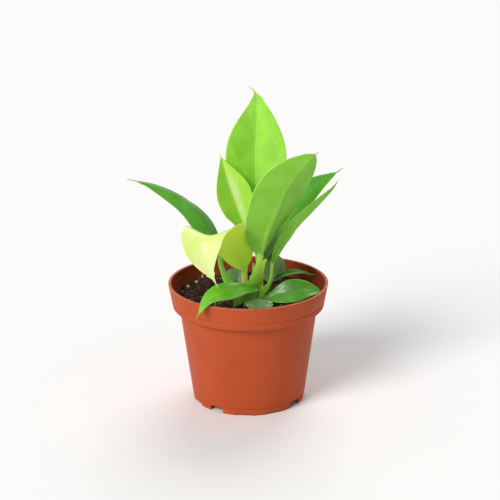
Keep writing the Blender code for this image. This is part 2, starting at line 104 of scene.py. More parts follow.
# ---- Leaves ----
# midrib: points in mm from the crown's foot, base to tip; faces: where the upper
# side looks, spread evenly from base to tip; fold: degrees each half rises from the
# midrib towards the upper side; widest, drip: shares of the length; base, tip: how
# blunt the outline's ends are; droop: how far the halves curl back down towards their
# margins; wave: height of the margin's waves in mm; valley: how soft the fold is;
# curl: degrees that the left margin rolls in; ear: a corner in the left margin, as its
# place and reach (shares) and its size in mm. Left and right are seen from the upper
# side with the tip up, and far_fold and far_curl belong to the right half.
LEAVES = {
    "tall_back": dict(
        midrib=((0, 11, 40), (-0.5, 15.5, 66), (-0.5, 20, 99), (0.5, 23, 121), (0.2, 23.5, 132),
                (-1.6, 23.5, 137.5), (-5.3, 23.5, 141)),
        half_width=22, widest=0.56, base=0.65, tip=1.0, drip=0.06,
        faces=((0.05, -1, 0.15), (0, -1, 0.1)), fold=(26, 22), droop=0.3, wave=0.5,
        slot="leaf_fresh"),
    "inner_left": dict(
        midrib=((-4.5, 3, 41), (-11, 5, 56.5), (-17.5, 7, 74.5), (-22, 8, 90.5),
                (-23.5, 8.5, 96.5), (-24.5, 8.5, 99)),
        half_width=14, widest=0.53, base=0.6, tip=1.05, drip=0.04,
        faces=((0.4, -0.87, 0.2), (0.5, -0.87, 0.1)), fold=(24, 22),
        far_fold=(38, 32), droop=0.25, wave=0.4, curl=(175, 150, 40, 0, 0, 0, 0),
        slot="leaf_fresh", finish="leaf_gloss"),
    "front_big": dict(
        midrib=((2, -12, 35), (6.5, -15.5, 51.5), (12.5, -18, 66.5), (18.5, -20, 81.5),
                (27.5, -23, 96), (36.5, -27, 107), (39, -27, 108.5)),
        half_width=19.8, widest=0.49, base=0.5, tip=0.72, drip=0.03,
        faces=((-0.4, 0.9, 0.3), (-0.4, 0.9, 0.3), (-0.1, 0.95, 0.35)), fold=(44, 26, 12),
        far_fold=(24, 24, 12), droop=0.15, wave=0.3, slot="leaf_pale"),
    "right_back": dict(
        midrib=((5, 4, 24.2), (17, 11, 43), (28, 16.5, 60), (41, 19.5, 73.5), (53.5, 22, 82),
                (57.5, 22, 85)),
        half_width=13.5, widest=0.47, base=0.5, tip=1.0, drip=0.06,
        faces=((-0.5, -0.6, 0.6), (-0.45, -0.6, 0.7)), fold=(28, 20), droop=0.2, wave=0.5,
        slot="leaf_deep", finish="leaf_shaded"),
    "right_front": dict(
        midrib=((10, -2, 27), (14, -3, 34), (20, -4, 44), (27.5, -4, 53.5), (35.5, -3, 61.5),
                (43, -1, 69), (49.5, 2, 75.5), (53.5, 5, 81)),
        half_width=7.5, widest=0.45, base=0.6, tip=0.9, drip=0.02,
        faces=((-0.6, 0.4, 0.7), (-0.6, 0.35, 0.7)), fold=(52, 46), droop=0.1, wave=0.05,
        slot="leaf_pale"),
    "far_left": dict(
        midrib=((-24.7, 5, 27), (-30, 6, 41.5), (-36, 7, 54.5), (-44.5, 8, 64.5), (-56, 9, 71.5),
                (-69.5, 9, 77.5), (-79, 8, 80.5), (-85.5, 8, 82)),
        half_width=10, widest=0.33, base=0.55, tip=1.0, drip=0.07,
        faces=((0.35, -0.75, 0.55), (0.3, -0.65, 0.65)), fold=(10, -22, -15),
        far_fold=(-20, -55, -35), droop=0.1, wave=0.2, slot="leaf_deep"),
    "yellow_new": dict(
        midrib=((-9.2, -6, 23.4), (-14.6, -11, 35), (-23, -20, 46.5), (-29.5, -29, 54.5),
                (-34, -36, 54), (-34.5, -40, 47), (-32, -42, 37.5), (-28, -42, 29),
                (-25, -42, 23)),
        half_width=19.5, widest=0.46, base=0.5, tip=1.15, drip=0.08, valley=0.35,
        far_curl=(40, 70, 70, 50, 0, 0, 0, 0, 0),
        faces=((-0.1, 0.9, 0.4), (-0.3, 0.6, 0.8), (-0.3, -0.1, 1), (-0.1, -1, 0.5), (0.1, -1, 0)),
        fold=(20, 28, 26, 20, 12), droop=0.1, wave=0.2, ear=(0.45, 0.03, 3.5),
        slot="leaf_yellow"),
    "front_left": dict(
        midrib=((0.5, -7.5, 9.5), (-10, -14, 13), (-20.5, -24, 14.5), (-30, -34, 13.5),
                (-35, -40, 10.5), (-38, -43, 6), (-39.5, -43.5, 2.5)),
        half_width=7.8, widest=0.52, base=0.6, tip=0.85, drip=0.06,
        faces=((0, -0.5, 1), (-0.3, -0.6, 1), (-0.9, -0.6, 0.5)), fold=(6, -16, -10),
        far_fold=(12, 8), droop=0.3, wave=0.7, slot="leaf_fresh", finish="leaf_fresh_low"),
    "front_right": dict(
        midrib=((5, -4.5, 1.8), (15, -6, 5.2), (24, -6, 7.8), (33, -4, 8.4), (43, -0.5, 5.6)),
        half_width=8.3, widest=0.5, base=0.7, tip=0.75, drip=0.02,
        faces=((-0.1, -0.6, 1), (0.3, -0.6, 1)), fold=(26, 28), far_fold=(-4, -4),
        droop=0.2, wave=0.7, slot="leaf_deep"),
    "right_curl": dict(
        midrib=((10, 7, 10.5), (18.5, 14, 12.5), (26.5, 20, 12), (33.5, 27, 9),
                (37.5, 29, 7), (40, 30, 7)),
        half_width=2.8, widest=0.4, base=0.7, tip=1.0, drip=0.03,
        faces=((0, -0.5, 1), (0, -0.5, 1)), fold=(25, 20), droop=0.1, wave=0.1,
        slot="leaf_pale", finish="leaf_shaded"),
    "back_round": dict(
        midrib=((8, 16, 6), (9.5, 23, 10), (12.5, 29, 16.5), (14, 31, 21.5)),
        half_width=8.5, widest=0.6, base=0.6, tip=0.6, drip=0.02,
        faces=((0.1, -0.8, 0.6), (0.2, -0.9, 0.4)), fold=(8, 8), droop=0.2, wave=0.3,
        slot="leaf_grey"),
    "back_left": dict(
        midrib=((-11.5, 11, 8), (-15, 14, 10.5), (-20.5, 20, 13)),
        half_width=6, widest=0.55, base=0.6, tip=0.6, drip=0.02,
        faces=((-0.2, -0.8, 0.6), (-0.2, -0.8, 0.6)), fold=(8, 8), droop=0.2, wave=0.2,
        slot="leaf_grey"),
    "front_small": dict(
        midrib=((1, -8, 3.6), (1, -15, 5.4), (1.5, -24, 5), (3, -31, 2)),
        half_width=9.4, widest=0.58, base=0.95, tip=0.7, drip=0.02,
        faces=((0.1, -0.3, 1), (0.1, -0.5, 1)), fold=(-6, -8), droop=0.35, wave=0.3,
        slot="leaf_deep", finish="leaf_grey"),
}
SMALL_BLADE = dict(half_width=3.6, tip=0.8, drip=0.03, droop=0.2, wave=0.1, slot="leaf_fresh")
SMALL_BLADES = {  # at the crown's left
    "shoot": dict(
        SMALL_BLADE, midrib=((-6, -4, 5), (-10, -8, 4.5), (-13.5, -12, 2.4), (-15.5, -15, 0.2)),
        widest=0.5, base=0.6, faces=((0.2, -0.8, 0.8), (0.2, -0.9, 0.6)), fold=(14, 10)),
    "clasp": dict(
        SMALL_BLADE, midrib=((-0.5, -6, 8), (-3.5, -8, 6), (-5.5, -10, 2.5), (-6, -12, 0.2)),
        widest=0.45, base=0.5, faces=((0.1, -0.9, 0.5), (0.1, -1, 0.3)), fold=(10, 10)),
}
BLADE_COLUMNS = 48
BLADE_ROWS = 110
COLUMN_CROWDING = 1.25  # above 1, the columns lie closer at the midrib
BLADE_THICKNESS = 0.5 * MM
RIB_THICKNESS = 2.2 * MM  # blade and midrib together, at the base
RIB_SHARE = 0.1  # half width of the midrib, as a share of the blade's
NECK = 1.2  # half width in mm where the blade meets its stalk
HAIR_TIP = 0.25  # half width in mm of the fine tip
DRIP_REACH = 0.06  # share of the blade that flows into its fine tip
DRIP_WIDTH = 0.12  # half width where it starts, as a share of the blade's
VALLEY_ROUND = 0.1  # softness of the fold, as a share of the half width
CURL_FROM = 0.5  # where a rolled margin starts, as a share of the half width

# ---- Stalks ----
# points in mm from the crown's foot and radii in mm, crown end first; sheath: how
# much wider the foot is on each side in mm and the share of the stalk it runs up;
# opens: where the sheath's open side looks.
STALKS = {
    "tall_back": dict(
        points=((1.2, 2.6, 9.2), (1.8, 7, 24), (0.3, 9.3, 39)), radii=(1.7, 1.4),
        sheath=(1.2, 0.5), tone="lime"),
    "inner_left": dict(
        points=((-1.4, 2.2, 9.2), (0.6, 3.8, 24), (-2.8, 3.4, 39)), radii=(1.2, 1.0),
        sheath=(1.0, 0.5), tone="lime"),
    "front_big": dict(
        points=((-1.6, -2.8, 9.2), (0, -9, 22), (1.9, -11.8, 34)), radii=(2.2, 1.9),
        sheath=(3.4, 0.85), tone="lime"),
    "right_back": dict(
        points=((1.8, -1.8, 8), (2.4, 0.4, 16), (4.2, 3.2, 23.5)), radii=(1.9, 1.5),
        sheath=(0.9, 0.6), tone="olive"),
    "right_front": dict(
        points=((6.8, 0.6, 4.5), (9, -1, 14), (9.9, -2, 26)), radii=(1.3, 1.2),
        sheath=(2.0, 0.55), tone="lime"),
    "far_left": dict(
        points=((-6.2, 0.8, 3), (-17.8, 2, 9), (-23.2, 4, 19.5), (-24.6, 4.9, 26)),
        radii=(2.3, 1.6), sheath=(2.4, 0.75)),
    "yellow_new": dict(
        points=((-5.4, -3.6, 4), (-8.3, -5, 12), (-9.0, -5.8, 22.6)), radii=(2.0, 1.7),
        sheath=(0.8, 0.6), tone="cream"),
    "front_left": dict(
        points=((1.2, -6.6, 3), (1.1, -6.9, 8.6)), radii=(0.9, 0.8), sheath=(0.6, 0.6)),
    "right_curl": dict(
        points=((5.6, 4.1, 4), (9.3, 6.5, 9.8)), radii=(0.9, 0.8), sheath=(0.4, 0.6)),
    "back_round": dict(
        points=((1.6, 7, 2.6), (7.8, 15.1, 5.6)), radii=(0.9, 0.8), sheath=(0.2, 0.6)),
    "back_left": dict(
        points=((-5.2, 4.6, 2.6), (-10.8, 10.4, 7.5)), radii=(0.9, 0.8), sheath=(0.2, 0.6)),
}
NO_SHEATH = (0, 1)
SPROUTS = {
    "sprout": dict(
        points=((-6.6, 3.4, 6), (-7.4, 5, 14), (-6.6, 6.6, 24)), radii=(1.3, 0.3), tone="cream"),
    "rolled_sheath": dict(
        points=((-2.4, 7, 3), (-2.8, 9.5, 12), (-2.6, 11, 22)), radii=(1.2, 0.3), tone="lime"),
}
OLD_STALKS = {
    "old": dict(
        points=((-4.5, -5.5, 5), (-7, -10, 3), (-8.6, -15, -0.5)), radii=(1.7, 1.1),
        sheath=(0.6, 0.5), opens=(0, -1, 0.5)),
    "dry_end": dict(
        points=((1.5, -5.5, 6.5), (-0.8, -7.4, 8.8), (-4.2, -8.2, 9.8)), radii=(0.55, 0.2),
        sheath=(0.6, 0.6), opens=(0, -1, 0.5), tone="cream"),
}
STALK_AROUND = 28
STALK_ROWS = 60
BLADE_OVERLAP = 0.12  # how far a stalk runs into its blade's first stretch

# ---- Crown ----
# Its section from the top down: radius as a share of the crown's, and height as a
# share of its rise above the mix, then of its depth below.
CROWN_BULB = ((0.02, 1), (0.55, 0.98), (0.86, 0.82), (1.0, 0.35), (0.97, 0))
CROWN_ROOT = ((0.75, 0.6), (0.35, 0.97), (0.02, 1))
CROWN_AROUND = 72
CROWN_ROWS = 70

# ---- Pieces that lie on the mix: place in mm from the pot's axis ----
TWIG_POINTS = ((-33, 14.5, 0), (-32, 15.5, 7.5), (-30.4, 17, 11.5))  # z above the mix
TWIG_RADIUS = 0.5 * MM
TWIG_LIFT = 0.6 * MM  # of its middle line above the mix
TWIG_TINT = 0.9
TWIG_AROUND = 12
TWIG_ROWS = 24
CURVE_STEPS = 20  # fine steps between two given points of a curve

# ---- View and light ----
AIM = Vector((1.3, 0, 104.3)) * MM
ELEVATION = radians(18.44)
ROLL = radians(0.29)
DISTANCE = 1.0
LENS = 107.35


# ---- Shader wiring ----
def maths(operation):
    """A Wire method that feeds the wire, and what comes after it, to a maths node."""
    def wired(wire, *others):
        inputs = dict(enumerate((wire, *others)))
        return wire.finish.node("ShaderNodeMath", {"operation": operation}, inputs)

    return wired


class Wire:
    """A shader socket that takes part in Python expressions."""

    def __init__(self, finish, socket):
        self.finish = finish
        self.socket = socket

    __add__ = __radd__ = maths("ADD")
    __mul__ = __rmul__ = maths("MULTIPLY")
    __sub__ = maths("SUBTRACT")
    __truediv__ = maths("DIVIDE")
    __pow__ = maths("POWER")
    __abs__ = maths("ABSOLUTE")

    def __rsub__(self, other):
        return self * -1 + other

    def wave(self):
        """A cosine of this value in turns, from 0 to 1."""
        return maths("COSINE")(self * TURN) * 0.5 + 0.5

    def rise(self, low, high):
        """0 below low, 1 above high, smooth between; low above high turns it round."""
        settings = {"interpolation_type": "SMOOTHSTEP"}
        inputs = {"Value": self, "From Min": low, "From Max": high}
        return self.finish.node("ShaderNodeMapRange", settings, inputs)


class Finish:
    """A material being wired around its Principled shader."""

    def __init__(self, name, **constants):
        self.material = bpy.data.materials.new(name)
        self.material.use_nodes = True
        self.nodes = self.material.node_tree.nodes
        self.links = self.material.node_tree.links
        self.shader = self.nodes["Principled BSDF"]
        for socket, value in constants.items():
            self.shader.inputs[socket.replace("_", " ")].default_value = value

    def node(self, kind, settings=None, inputs=None, output=0):
        made = self.nodes.new(kind)
        for name, value in (settings or {}).items():
            setattr(made, name, value)
        for name, value in (inputs or {}).items():
            self.feed(made.inputs[name], value)
        return Wire(self, made.outputs[output])

    def feed(self, socket, value):
        if isinstance(value, Wire):
            self.links.new(value.socket, socket)
        elif isinstance(value, tuple) and len(value) < len(socket.default_value):
            socket.default_value = (*value, 1.0)
        else:
            socket.default_value = value

    def place(self):
        return self.node("ShaderNodeTexCoord", output="Object")

    def axes(self, vector):
        split = self.node("ShaderNodeSeparateXYZ", inputs={"Vector": vector}).socket.node
        return [Wire(self, output) for output in split.outputs]

    def uv(self):
        return self.axes(self.node("ShaderNodeUVMap", {"uv_map": "UVMap"}))[:2]

    def tint(self):
        """Each scattered bit's own value from 0 to 1."""
        return self.node("ShaderNodeAttribute", {"attribute_name": "tint"}, output="Fac")

    def stretched(self, vector, scale):
        inputs = {"Vector": vector, "Scale": scale}
        return self.node("ShaderNodeMapping", None, inputs)

    def noise(self, scale, detail=3.0, vector=None):
        inputs = {"Vector": vector or self.place(), "Scale": scale, "Detail": detail}
        return self.node("ShaderNodeTexNoise", None, inputs)

    def mix(self, share, first, second):
        inputs = {0: share, 6: first, 7: second}
        return self.node("ShaderNodeMix", {"data_type": "RGBA"}, inputs, output=2)

    def color(self, value):
        self.feed(self.shader.inputs["Base Color"], value)

    def roughness(self, value):
        self.feed(self.shader.inputs["Roughness"], value)

    def bump(self, height, distance, strength=1.0):
        inputs = {"Height": height, "Distance": distance, "Strength": strength}
        self.feed(self.shader.inputs["Normal"], self.node("ShaderNodeBump", None, inputs))


# ---- Finishes ----
# Noise scales are in cells per metre.
SIDE_VEINS = 9  # along a blade
FINE_VEINS = 62
STALK_LINES = 18  # round a stalk


def terracotta_finish():
    """Matte moulded plastic, a little dusty, with scuffs and a painted highlight on the lip and
    painted shade on the inner wall.
    """
    finish = Finish("terracotta_plastic", Specular_IOR_Level=0.1)
    x, y, z = finish.axes(finish.place())
    cloud = finish.noise(28, 4)
    fine = finish.noise(900, 2)
    radius = (x * x + y * y) ** 0.5
    color = finish.mix(cloud.rise(0.3, 0.7), (0.45, 0.075, 0.022), (0.49, 0.085, 0.027))
    streak = finish.noise(60, 3, finish.stretched(finish.place(), (1, 1, 0.08)))
    color = finish.mix(streak.rise(0.55, 0.8) * 0.10, color, (0.55, 0.13, 0.05))
    # Painted highlight and wear: the lip's top edge is lightened, partly scuffs and partly light
    # caught by the edge.
    lip = z.rise(POT_HEIGHT - 0.5 * MM, POT_HEIGHT - 0.1 * MM) * finish.noise(240, 3).rise(0.3, 0.6)
    color = finish.mix(lip * 0.45, color, (0.62, 0.30, 0.20))
    wall = radius - (z - POT_HEIGHT) * (BAND_DRAFT / BAND_HEIGHT)
    within = wall.rise(RIM_RADIUS - 0.9 * MM, RIM_RADIUS - 1.2 * MM)
    within = within * z.rise(BAND_FOOT, BAND_FOOT + 1 * MM)
    # Darker in blotches near the mix: partly a soil stain, partly painted shade in the pot's
    # recess.
    soil_stain_and_shade = z.rise(MIX_TOP + 7 * MM, MIX_TOP - 1 * MM) * finish.noise(160, 4).rise(0.25, 0.75)
    color = finish.mix(within * soil_stain_and_shade * 0.6, color, (0.10, 0.035, 0.018))
    # Painted shade: the whole inner wall is darkened, as shade inside the pot.
    color = finish.mix(within * 0.3, color, (0.22, 0.045, 0.018))
    finish.color(color)
    finish.roughness(cloud * 0.12 + 0.44)
    finish.bump(fine + cloud * 0.8, 0.05 * MM, 0.5)
    return finish.material


def mix_finish(name, dark, warm, pale, pale_from):
    """Peat, fibres and grit; the tint attribute sets each bit's tone."""
    finish = Finish(name, Specular_IOR_Level=0.25)
    tint = finish.tint()
    speck = finish.noise(700, 4)
    color = finish.mix(tint.rise(0.0, 0.75), dark, warm)
    color = finish.mix(tint.rise(pale_from, 1.0), color, pale)
    color = finish.mix(speck.rise(0.45, 0.8) * 0.5, color, warm)
    finish.color(color)
    finish.roughness(speck * 0.2 + 0.75)
    finish.bump(speck, 0.3 * MM)
    return finish.material


def bark_finish():
    finish = Finish("bark", Specular_IOR_Level=0.2)
    grain = finish.noise(420, 5, finish.stretched(finish.place(), (1, 1, 0.3)))
    color = finish.mix(grain.rise(0.3, 0.7), (0.030, 0.014, 0.009), (0.115, 0.055, 0.032))
    finish.color(finish.mix(finish.noise(900, 3).rise(0.6, 0.8) * 0.5, color, (0.2, 0.11, 0.06)))
    finish.roughness(grain * 0.2 + 0.75)
    finish.bump(grain, 0.4 * MM)
    return finish.material


def perlite_finish():
    finish = Finish("perlite", Specular_IOR_Level=0.3)
    pores = finish.noise(1800, 4)
    finish.color(finish.mix(pores.rise(0.35, 0.65), (0.45, 0.40, 0.33), (0.88, 0.87, 0.83)))
    finish.roughness(pores * 0.2 + 0.75)
    finish.bump(pores, 0.15 * MM)
    return finish.material


def leaf_finish(name, deep, light, vein, margin, lines, rough, relief=-1.0, foot=None,
                painted_highlight=None, wax=0.35):
    """A leaf side: side veins arch from the midrib to the margin, with finer ones
    between them. relief is negative where the veins are sunk; foot: painted shade
    low down on the blade; painted_highlight: the tone of a painted highlight beside
    the midrib; wax: weight of its waxy coat."""
    finish = Finish(name, Specular_IOR_Level=0.2 + 0.6 * wax, Subsurface_Weight=0.4,
                    Subsurface_Radius=(0.5, 1.0, 0.15), Subsurface_Scale=2 * MM,
                    Coat_Weight=wax if relief < 0 else 0.0, Coat_Roughness=0.2)
    across, along = finish.uv()
    side = across * 2 - 1
    out = abs(side)
    cloud = finish.noise(70, 3)
    flow = along - out * 0.16 - out * out * 0.12 + (cloud - 0.5) * 0.015 + side * 0.012
    lateral = (flow * SIDE_VEINS).wave() ** 12 * out.rise(0.0, 0.06) * out.rise(1.0, 0.8)
    fine = (flow * FINE_VEINS).wave() ** 3
    rib_width = (1 - along) * RIB_SHARE + 0.025
    rib = (out / rib_width).rise(1.0, 0.45)
    edge = out.rise(0.965, 0.995)
    color = finish.mix(cloud.rise(0.3, 0.7), deep, light)
    if painted_highlight:
        # Painted highlight: a pale streak right of the midrib stands in for the leaf's gloss.
        pale = side.rise(0.0, 0.10) * side.rise(0.62, 0.28) * along.rise(0.05, 0.35)
        pale = pale * along.rise(0.9, 0.6) * (finish.noise(120, 2).rise(0.2, 0.6) * 0.5 + 0.5)
        color = finish.mix(pale * 0.7, color, painted_highlight)
    # Painted shade: the blade darkens towards its foot, where it lies in the shadow of the others.
    if foot:
        color = finish.mix(along.rise(0.36, 0.16), color, foot)
    color = finish.mix(fine * 0.10 * lines, color, vein)
    color = finish.mix(lateral * 0.25 * lines, color, vein)
    color = finish.mix(rib * 0.6, color, vein)
    color = finish.mix(edge * 0.75, color, margin)
    color = finish.mix(along.rise(0.06, 0.0) * 0.7, color, vein)
    finish.color(color)
    finish.roughness(finish.noise(160, 3) * 0.14 + fine * 0.04 + rough)
    height = (lateral * 0.9 + fine * 0.22) * relief + finish.noise(420, 3) * 0.45
    finish.bump(height, 0.10 * MM, 0.7)
    return finish.material


def stalk_finish(name, foot, middle, top, line):
    """Smooth stalk with lengthwise lines, paler towards the crown."""
    finish = Finish(name, Specular_IOR_Level=0.4, Subsurface_Weight=0.25,
                    Subsurface_Radius=(0.5, 1.0, 0.2), Subsurface_Scale=1.5 * MM)
    around, along = finish.uv()
    lines = (around * STALK_LINES + finish.noise(90, 2) * 0.5).wave() ** 4
    color = finish.mix(along.rise(0.0, 0.35), foot, middle)
    color = finish.mix(along.rise(0.6, 0.95), color, top)
    color = finish.mix(lines * 0.3, color, line)
    color = finish.mix(finish.noise(260, 3).rise(0.6, 0.8) * 0.25, color, line)
    edge = abs(around * 2 - 1).rise(0.06, 0.0) + abs(around * 2 - 1).rise(0.94, 1.0)
    finish.color(finish.mix(edge * 0.6, color, line))
    finish.roughness(lines * 0.08 + 0.4)
    finish.bump(lines + finish.noise(500, 2) * 0.5, 0.08 * MM, 0.6)
    return finish.material


FINISHES = {
    "terracotta_plastic": terracotta_finish(),
    "bark": bark_finish(),
    "perlite": perlite_finish(),
    "potting_mix": mix_finish("potting_mix", (0.007, 0.004, 0.003), (0.048, 0.024, 0.012),
                              (0.16, 0.09, 0.045), 0.8),
    "straw": mix_finish("straw", (0.16, 0.08, 0.035), (0.42, 0.25, 0.12),
                        (0.62, 0.47, 0.28), 0.6),
}
LIME_VEIN = (0.55, 0.86, 0.22)
# The deep, light, vein and margin tones of each leaf's upper and lower side, with how
# clearly that side's veins show, and then the upper side's surface.
LEAF_TONES = {
    "leaf_fresh": (
        ((0.26, 0.6, 0.025), (0.37, 0.74, 0.055), LIME_VEIN, (0.5, 0.78, 0.14), 0.7),
        ((0.28, 0.58, 0.04), (0.36, 0.66, 0.07), LIME_VEIN, (0.6, 0.85, 0.2), 0.6),
        dict(rough=0.34)),
    # leaf_gloss: a brighter copy of leaf_fresh, partly a young leaf's paler tone and partly painted
    # light, with a painted highlight beside the midrib.
    "leaf_gloss": (
        ((0.42, 0.88, 0.045), (0.52, 0.95, 0.08), (0.66, 0.95, 0.28), (0.72, 0.95, 0.3), 0.5),
        ((0.36, 0.74, 0.05), (0.44, 0.82, 0.09), (0.6, 0.9, 0.2), (0.78, 0.95, 0.34), 0.6),
        dict(rough=0.24, painted_highlight=(0.84, 0.98, 0.5))),
    "leaf_fresh_low": (
        ((0.13, 0.52, 0.012), (0.22, 0.66, 0.05), (0.4, 0.74, 0.2), (0.5, 0.84, 0.2), 0.4),
        ((0.16, 0.44, 0.03), (0.22, 0.52, 0.05), (0.35, 0.65, 0.12), (0.5, 0.8, 0.18), 0.5),
        dict(rough=0.26)),
    "leaf_pale": (
        ((0.11, 0.4, 0.01), (0.17, 0.48, 0.025), (0.3, 0.6, 0.09), (0.4, 0.66, 0.12), 0.5),
        ((0.19, 0.45, 0.02), (0.24, 0.52, 0.045), (0.33, 0.6, 0.1), (0.48, 0.7, 0.15), 0.3),
        dict(rough=0.36)),
    "leaf_deep": (
        ((0.065, 0.28, 0.012), (0.11, 0.38, 0.035), (0.16, 0.38, 0.06), (0.4, 0.62, 0.18), 0.35),
        ((0.11, 0.3, 0.025), (0.16, 0.36, 0.045), (0.24, 0.43, 0.09), (0.4, 0.58, 0.16), 0.35),
        dict(rough=0.26)),
    # leaf_shaded: a darker, shaded copy of leaf_deep, with painted shadow at the foot of the blade.
    "leaf_shaded": (
        ((0.06, 0.27, 0.01), (0.1, 0.35, 0.025), (0.16, 0.38, 0.06), (0.4, 0.62, 0.18), 0.35),
        ((0.05, 0.18, 0.01), (0.08, 0.24, 0.02), (0.16, 0.34, 0.06), (0.4, 0.58, 0.16), 0.35),
        dict(rough=0.4, foot=(0.012, 0.085, 0.001), wax=0.0)),
    # leaf_grey: its grey cast and whitish margin are a painted sheen, the white light that glossy
    # leaves reflect at a grazing angle.
    "leaf_grey": (
        ((0.09, 0.2, 0.045), (0.17, 0.32, 0.1), (0.26, 0.4, 0.17), (0.55, 0.68, 0.42), 0.4),
        ((0.12, 0.22, 0.07), (0.17, 0.3, 0.11), (0.25, 0.38, 0.17), (0.42, 0.54, 0.3), 0.4),
        dict(rough=0.34)),
    "leaf_yellow": (
        ((0.68, 0.94, 0.2), (0.8, 0.97, 0.38), (0.8, 0.96, 0.38), (0.78, 0.92, 0.44), 0.3),
        ((0.58, 0.86, 0.05), (0.68, 0.94, 0.09), (0.66, 0.92, 0.1), (0.84, 0.96, 0.38), 0.3),
        dict(rough=0.38)),
}
LEAF_FINISHES = {
    name: (leaf_finish(name, *upper, **surface),
           leaf_finish(f"{name}_under", *lower, rough=0.5, relief=1.0))
    for name, (upper, lower, surface) in LEAF_TONES.items()}
STALK_TONES = {  # foot, middle, top and lines
    "lime": ((0.36, 0.72, 0.05), (0.46, 0.92, 0.07), (0.6, 0.94, 0.18), (0.74, 0.95, 0.34)),
    "olive": ((0.34, 0.56, 0.03), (0.56, 0.76, 0.04), (0.62, 0.8, 0.07), (0.76, 0.9, 0.2)),
    "cream": ((0.84, 0.98, 0.16), (0.9, 0.99, 0.2), (0.66, 0.92, 0.2), (0.92, 0.98, 0.58)),
    "green": ((0.26, 0.62, 0.05), (0.24, 0.62, 0.04), (0.22, 0.52, 0.06), (0.6, 0.86, 0.3)),
}
STALK_FINISHES = {
    name: stalk_finish(f"stalk_{name}", *tones) for name, tones in STALK_TONES.items()}


# ---- Modelling helpers ----
def deselect():
    if bpy.context.object and bpy.context.object.mode != "OBJECT":
        bpy.ops.object.mode_set(mode="OBJECT")
    bpy.ops.object.select_all(action="DESELECT")


def activate(piece):
    deselect()
    bpy.context.view_layer.objects.active = piece
    piece.select_set(True)


def edit(piece, mode="VERT"):
    activate(piece)
    bpy.ops.object.mode_set(mode="EDIT")
    bpy.ops.mesh.select_mode(type=mode)
    bpy.ops.mesh.select_all(action="DESELECT")


def done():
    bpy.ops.object.mode_set(mode="OBJECT")


def apply_modifiers(piece):
    activate(piece)
    for modifier in list(piece.modifiers):
        bpy.ops.object.modifier_apply(modifier=modifier.name)


def dress(piece, slot, *nodes, materials=None):
    """Finish a piece: its materials, picked by its slot when none are given, its body and the nodes
    it stands for.
    """
    piece.data.materials.clear()
    for material in materials or [FINISHES[slot]]:
        piece.data.materials.append(material)
    if nodes:
        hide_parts(*nodes)
    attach(piece, BODY)


def tinted(piece, shade):
    """Give each vertex its own tone from 0 to 1."""
    tint = piece.data.attributes.new("tint", "FLOAT", "POINT")
    for vertex, value in zip(piece.data.vertices, tint.data):
        value.value = shade(vertex.co)


def shaped_grid(name, columns, rows, place):
    """A flat grid with each vertex moved to place(across, along), both 0 to 1."""
    deselect()
    bpy.ops.mesh.primitive_grid_add(x_subdivisions=columns, y_subdivisions=rows, size=2)
    piece = bpy.context.object
    piece.name = name
    for vertex in piece.data.vertices:
        vertex.co = place((vertex.co.x + 1) / 2, (vertex.co.y + 1) / 2)
    piece.data.shade_smooth()
    return piece


def close_seams(piece, distance=0.005 * MM):
    """Merge the long seam of a rolled grid, fill its ends and turn the faces out."""
    edit(piece)
    bpy.ops.mesh.select_all(action="SELECT")
    bpy.ops.mesh.remove_doubles(threshold=distance)
    bpy.ops.mesh.select_all(action="SELECT")
    bpy.ops.mesh.fill_holes(sides=0)
    bpy.ops.mesh.select_all(action="SELECT")
    bpy.ops.mesh.normals_make_consistent(inside=False)
    done()
    return piece


def smooth_points(points, steps):
    """Evenly spaced points on a smooth curve through the given points."""
    points = [Vector(p) for p in points]
    ends = [2 * points[0] - points[1]] + points + [2 * points[-1] - points[-2]]
    fine = []
    for a, b, c, d in zip(ends, ends[1:], ends[2:], ends[3:]):
        for i in range(CURVE_STEPS):
            t = i / CURVE_STEPS
            fine.append(0.5 * (2 * b + (c - a) * t + (2 * a - 5 * b + 4 * c - d) * t ** 2
                               + (3 * b - a - 3 * c + d) * t ** 3))
    fine.append(points[-1])
    lengths = [0.0]
    for p, q in zip(fine, fine[1:]):
        lengths.append(lengths[-1] + (q - p).length)
    spaced = []
    k = 0
    for i in range(steps + 1):
        target = lengths[-1] * i / steps
        while k < len(fine) - 2 and lengths[k + 1] < target:
            k += 1
        share = (target - lengths[k]) / max(lengths[k + 1] - lengths[k], 1e-9)
        spaced.append(fine[k].lerp(fine[k + 1], share))
    return spaced


def spread(values, share):
    """The value at a share of the way along evenly spread values."""
    place = min(max(share, 0.0), 1.0) * (len(values) - 1)
    k = min(int(place), len(values) - 2)
    first, second = values[k], values[k + 1]
    if isinstance(first, (tuple, list)):
        return Vector(first).lerp(Vector(second), place - k)
    return first + (second - first) * (place - k)


def between(low, high, value):
    """0 at low, 1 at high, smooth between."""
    share = min(max((value - low) / (high - low), 0.0), 1.0)
    return share * share * (3 - 2 * share)


# ---- Pot ----
def body_radius(height):
    share = (height - FOOT_HEIGHT) / (BODY_TOP - FOOT_HEIGHT)
    return FOOT_RADIUS + (RIM_RADIUS - BAND_DRAFT - BAND_STEP - FOOT_RADIUS) * share


def band_radius(height):
    return RIM_RADIUS - BAND_DRAFT * (POT_HEIGHT - height) / BAND_HEIGHT


def inner_profile(gap):
    """Inside of the pot from the floor's edge to the rim, moved in by the gap."""
    floor = FLOOR_LIFT + POT_WALL + gap
    inset = POT_WALL + gap
    return [(body_radius(floor) - inset, floor), (body_radius(BODY_TOP) - inset, BODY_TOP),
            (band_radius(BAND_FOOT) - inset, BAND_FOOT + POT_WALL / 2),
            (band_radius(POT_HEIGHT - LIP_HEIGHT * 2) - inset, POT_HEIGHT - LIP_HEIGHT * 2)]


def inner_radius(height, gap):
    profile = inner_profile(gap)
    for (r1, z1), (r2, z2) in zip(profile, profile[1:]):
        if z1 <= height <= z2:
            return r1 + (r2 - r1) * (height - z1) / (z2 - z1)
    return profile[-1][0]


